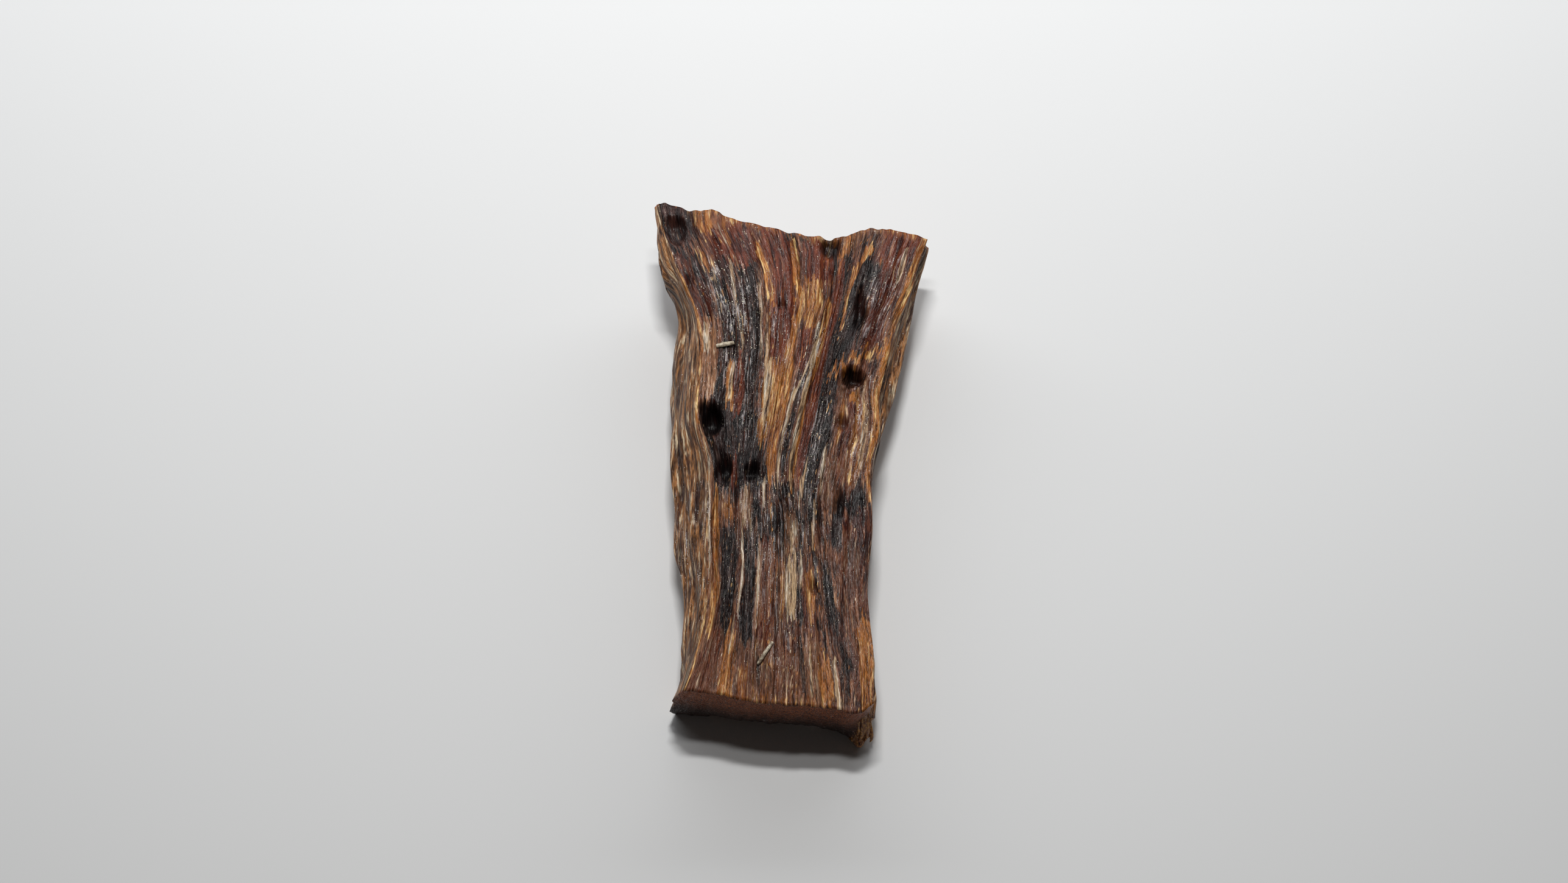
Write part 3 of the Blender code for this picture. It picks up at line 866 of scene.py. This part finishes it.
def painted_sheen_threads(tree, patterns, painted_glint, colour):
    strings = between(tree, patterns["string"], 0.5, 0.68)
    sheen_amount = maths(tree, "MULTIPLY", strings, between(tree, patterns["hair"], 0.42, 0.62))
    sheen_amount = maths(tree, "MULTIPLY", sheen_amount, maths(tree, "MULTIPLY_ADD", painted_glint, 0.6, 0.1))
    return blend(tree, sheen_amount, colour, linear(*PAINTED_SHEEN))


def painted_sparks(tree, where, patterns, painted_glint, colour):
    vector = along_grain(tree, where, PAINTED_SPARK_WIDTH, PAINTED_SPARK_LENGTH)
    cells = add(tree, "TexVoronoi", {"Vector": vector, "Scale": 1.0, "Randomness": 1.0})
    chance = add(tree, "SeparateColor", {"Color": cells.outputs["Color"]})
    size = maths(tree, "MULTIPLY_ADD", chance.outputs[1], 0.36, 0.12)
    dot = between(tree, cells.outputs["Distance"], size, maths(tree, "MULTIPLY", size, 0.35))
    level = maths(tree, "MULTIPLY_ADD", painted_glint, 0.55, chance.outputs[0])
    level = maths(tree, "MULTIPLY_ADD", patterns["string"], 3.0, level)
    painted_spark = maths(tree, "MULTIPLY", dot, between(tree, level, 2.25, 3.3))
    tinted = blend(tree, 0.25, linear(*PAINTED_SPARK_WHITE), cells.outputs["Color"])
    return blend(tree, painted_spark, colour, tinted)


print("sparks up to", PAINTED_SPARK_WIDTH, "by", PAINTED_SPARK_LENGTH, "mm")


# %% [markdown]
# ## One material from all the layers
# The knot and the painted shade of the hollows come last, so that hardly a painted spark shows in
# them. Threads that stand up are smoother and glossier than the gaps between them, and the bump lifts
# the same threads.

# %% Agarwood material
KNOT_STRENGTH = 0.85
HOLLOW_SHADE_STRENGTH = 0.9
GAP_ROUGHNESS = 0.5
THREAD_ROUGHNESS = 0.22


def agarwood_material():
    material = bpy.data.materials.new("agarwood_wood")
    material.use_nodes = True
    tree = material.node_tree
    shader = tree.nodes["Principled BSDF"]
    where, patterns = fibre_patterns(tree)
    # the stretches where sheen and glints are painted into the colour
    painted_glint = mask(tree, "painted_glint")
    colour = streaked_wood(tree, patterns)
    colour = sides_and_ends(tree, where, patterns, colour)
    colour = painted_gap_shade(tree, patterns, colour)
    # painted sheen threads and painted sparks of reflected light
    colour = painted_sheen_threads(tree, patterns, painted_glint, colour)
    colour = painted_sparks(tree, where, patterns, painted_glint, colour)
    # the knot's colour, then the painted shade of the hollows
    for name, kind, strength in (("knot", "knot", KNOT_STRENGTH), ("painted_hollow_shade", "painted_pit_shade", HOLLOW_SHADE_STRENGTH)):
        place = maths(tree, "MULTIPLY", mask(tree, name), strength)
        colour = blend(tree, place, colour, wood_colour(tree, patterns, kind))
    tree.links.new(colour, shader.inputs["Base Color"])
    inputs = {"Value": patterns["thread"], "To Min": GAP_ROUGHNESS, "To Max": THREAD_ROUGHNESS}
    rough = add(tree, "MapRange", inputs)
    tree.links.new(rough.outputs["Result"], shader.inputs["Roughness"])
    height = maths(tree, "MULTIPLY_ADD", patterns["hair"], 0.5, patterns["thread"])
    relief = add(tree, "Bump", {"Height": height, "Strength": 0.9, "Distance": 0.12 * MM})
    tree.links.new(relief.outputs["Normal"], shader.inputs["Normal"])
    shader.inputs["Specular IOR Level"].default_value = 0.24
    return material


chip.data.materials.append(agarwood_material())
print("material nodes:", len(chip.data.materials[0].node_tree.nodes))


# %% [markdown]
# ## Loose fibres
# A split chip is never quite clean. A frayed tuft hangs from its near right corner, and two short
# pale splinters lie on top. Each one starts as a plain six-sided rod cut into rings, and the rings
# are carried along a path and made thinner towards the tips.

# %% Rod helper
FLATNESS = 0.6
ROD_SIDES = 6
ROD_CUTS = 11


def rod(path, thick, blunt):
    bm = bmesh.new()
    bmesh.ops.create_cone(bm, cap_ends=True, segments=ROD_SIDES, radius1=0.5, radius2=0.5, depth=1)
    lengthwise = [e for e in bm.edges if abs(e.verts[0].co.z - e.verts[1].co.z) > 0.9]
    bmesh.ops.subdivide_edges(bm, edges=lengthwise, cuts=ROD_CUTS, use_grid_fill=True)
    knots = np.linspace(0, 1, len(path))
    axes = [list(zip(knots, [point[axis] for point in path])) for axis in range(3)]

    def place(t):
        return Vector([float(curve(axis, np.array(min(max(t, 0.0), 1.0)))) for axis in axes])

    for vert in bm.verts:
        t = vert.co.z + 0.5
        heading = place(t + 0.02) - place(t - 0.02)
        turn = heading.to_track_quat("Z", "Y")
        thin = min(1.0, blunt + (1 - blunt) * math.sin(math.pi * min(max(t, 0.0), 1.0)) ** 0.6)
        ring_point = Vector((vert.co.x * thick * thin, vert.co.y * thick * thin * FLATNESS, 0))
        vert.co = (place(t) + turn @ ring_point) * MM
    mesh = bpy.data.meshes.new("rod")
    bm.to_mesh(mesh)
    bm.free()
    return mesh


print("a rod is", FLATNESS, "times as deep as it is wide")


# %% Place and join helpers
def on_top(x, y, lift):
    above = Vector(((x - MIDDLE[0]) * MM, (y - MIDDLE[1]) * MM, 20 * MM))
    hit = chip.ray_cast(above, Vector((0, 0, -1)))[1]
    return (x - MIDDLE[0], y - MIDDLE[1], hit.z / MM + lift)


def joined(name, rods, material):
    bm = bmesh.new()
    for mesh in rods:
        bm.from_mesh(mesh)
        bpy.data.meshes.remove(mesh)
    bmesh.ops.recalc_face_normals(bm, faces=bm.faces)
    mesh = bpy.data.meshes.new(name)
    bm.to_mesh(mesh)
    bm.free()
    mesh.shade_smooth()
    mesh.materials.append(material)
    piece = bpy.data.objects.new(name, mesh)
    bpy.context.scene.collection.objects.link(piece)
    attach(piece, "root")
    return piece


print("top of the wood at the drawing's origin:", round(on_top(0, 0, 0)[2], 2), "mm")


# %% Fibre material
def fibre_material(name, dark, light):
    material = bpy.data.materials.new(name)
    material.use_nodes = True
    tree = material.node_tree
    shader = tree.nodes["Principled BSDF"]
    where = add(tree, "TexCoord", {}).outputs["Object"]
    cloud = add(tree, "TexNoise", {"Vector": where, "Scale": 6000.0, "Detail": 2.0}).outputs["Fac"]
    colour = blend(tree, between(tree, cloud, 0.35, 0.65), dark, light)
    tree.links.new(colour, shader.inputs["Base Color"])
    shader.inputs["Roughness"].default_value = 0.5
    return material


pale_fibre = fibre_material("agarwood_splinter", linear(128, 112, 94), linear(196, 184, 162))
gold_fibre = fibre_material("agarwood_fibre", linear(112, 62, 26), linear(196, 140, 72))
print("materials:", pale_fibre.name, "and", gold_fibre.name)

# %% Two splinters on the top
splinters = [
    rod([on_top(-3.66, 4.4, 0.12), on_top(-3.2, 4.5, 0.15), on_top(-2.7, 4.64, 0.12)], 0.27, 0.75),
    rod([on_top(-1.4, -13.2, 0.12), on_top(-1.0, -12.6, 0.14), on_top(-0.6, -12.0, 0.12)], 0.22, 0.7),
]
joined("agarwood_splinters", splinters, pale_fibre)
print("splinters:", len(splinters))

# %% Frayed tuft
STRANDS = 26
TUFT_SIDE = 4.75
TUFT_FRONT = -15.45
rng = random.Random(9)
loose = []
for _ in range(STRANDS):
    x0 = TUFT_SIDE - 1.1 * rng.random()
    z0 = 0.6 + 2.4 * rng.random()
    start = (x0 - MIDDLE[0], TUFT_FRONT + 0.2 * rng.random() - MIDDLE[1], z0)
    bend = (start[0] - 0.15 + 0.3 * rng.random(), start[1] - 0.55 - 0.3 * rng.random(), z0 * 0.55)
    tip = (bend[0] - 0.45 * rng.random(), bend[1] - 0.15 + 0.3 * rng.random(), 0.12 + 0.3 * rng.random())
    loose.append(rod([start, bend, tip], 0.10 + 0.08 * rng.random(), 0.3))
joined("agarwood_fibres", loose, gold_fibre)
print("loose fibres:", len(loose))


# %% [markdown]
# ## Paper, light and camera
# The chip lies on plain pale paper. The main light stands behind and above it, so its shadow falls
# towards the camera and the paper is brighter at the back. The camera looks down steeply, from far
# away with a long lens, as in a close-up.

# %% Paper
PAPER_HALF = 1.5
PAPER_COLOUR = (0.78, 0.79, 0.8, 1)


def paper():
    bm = bmesh.new()
    bmesh.ops.create_grid(bm, x_segments=1, y_segments=1, size=PAPER_HALF)
    mesh = bpy.data.meshes.new("paper")
    bm.to_mesh(mesh)
    bm.free()
    floor = bpy.data.objects.new("paper", mesh)
    bpy.context.scene.collection.objects.link(floor)
    material = bpy.data.materials.new("paper_white")
    material.use_nodes = True
    shader = material.node_tree.nodes["Principled BSDF"]
    shader.inputs["Base Color"].default_value = PAPER_COLOUR
    shader.inputs["Roughness"].default_value = 0.9
    shader.inputs["Specular IOR Level"].default_value = 0.2
    mesh.materials.append(material)
    return floor


paper()
print("sheet of paper laid under the chip")


# %% Lights
TUBE_SIZE = (0.03, 0.008)
WINDOW_SIZE = (0.3, 0.03)
WARM = (1, 0.99, 0.97)
COOL = (0.97, 0.99, 1)


def strip_light(name, place, size, power, colour):
    data = bpy.data.lights.new(name, "AREA")
    data.shape = "RECTANGLE"
    data.size, data.size_y = size
    data.energy = power
    data.color = colour
    lamp = bpy.data.objects.new(name, data)
    bpy.context.scene.collection.objects.link(lamp)
    lamp.location = place
    lamp.rotation_euler = (Vector((0, 0, 0)) - Vector(place)).to_track_quat("-Z", "Y").to_euler()
    return lamp


lamps = [
    strip_light("high_tube", (-0.002, 0.030, 0.143), TUBE_SIZE, 0.0353, WARM),
    strip_light("low_tube", (-0.002, 0.057, 0.144), TUBE_SIZE, 0.119, WARM),
    strip_light("window", (0, 0.09, 0.05), WINDOW_SIZE, 0.112, COOL),
]
print("lights:", [lamp.name for lamp in lamps])

# %% Faint light from all around
AROUND_COLOUR = (1, 0.85, 0.77, 1)
AROUND_STRENGTH = 0.03
world = bpy.data.worlds.new("studio")
bpy.context.scene.world = world
world.use_nodes = True
background = world.node_tree.nodes["Background"]
background.inputs["Color"].default_value = AROUND_COLOUR
background.inputs["Strength"].default_value = AROUND_STRENGTH
bpy.context.scene.view_settings.view_transform = "Standard"
print("strength of the light from all around:", AROUND_STRENGTH)

# %% Camera
CAMERA_RISE = math.radians(70)
CAMERA_DISTANCE = 0.3
SENSOR = 36
PIXELS_ACROSS = 2576
PIXEL = 0.033 * MM
AIM_HEIGHT = 0.003
aim = Vector((-MIDDLE[0] * MM, -MIDDLE[1] * MM, AIM_HEIGHT))
back = Vector((0, -math.cos(CAMERA_RISE), math.sin(CAMERA_RISE)))
camera_data = bpy.data.cameras.new("camera")
camera_data.sensor_width = SENSOR
camera_data.lens = SENSOR * (CAMERA_DISTANCE / PIXEL) / PIXELS_ACROSS
camera_data.clip_start = 0.01
camera = bpy.data.objects.new("camera", camera_data)
bpy.context.scene.collection.objects.link(camera)
camera.location = aim + back * CAMERA_DISTANCE
camera.rotation_euler = back.to_track_quat("Z", "Y").to_euler()
bpy.context.scene.camera = camera
print("lens:", round(camera_data.lens, 1), "mm")
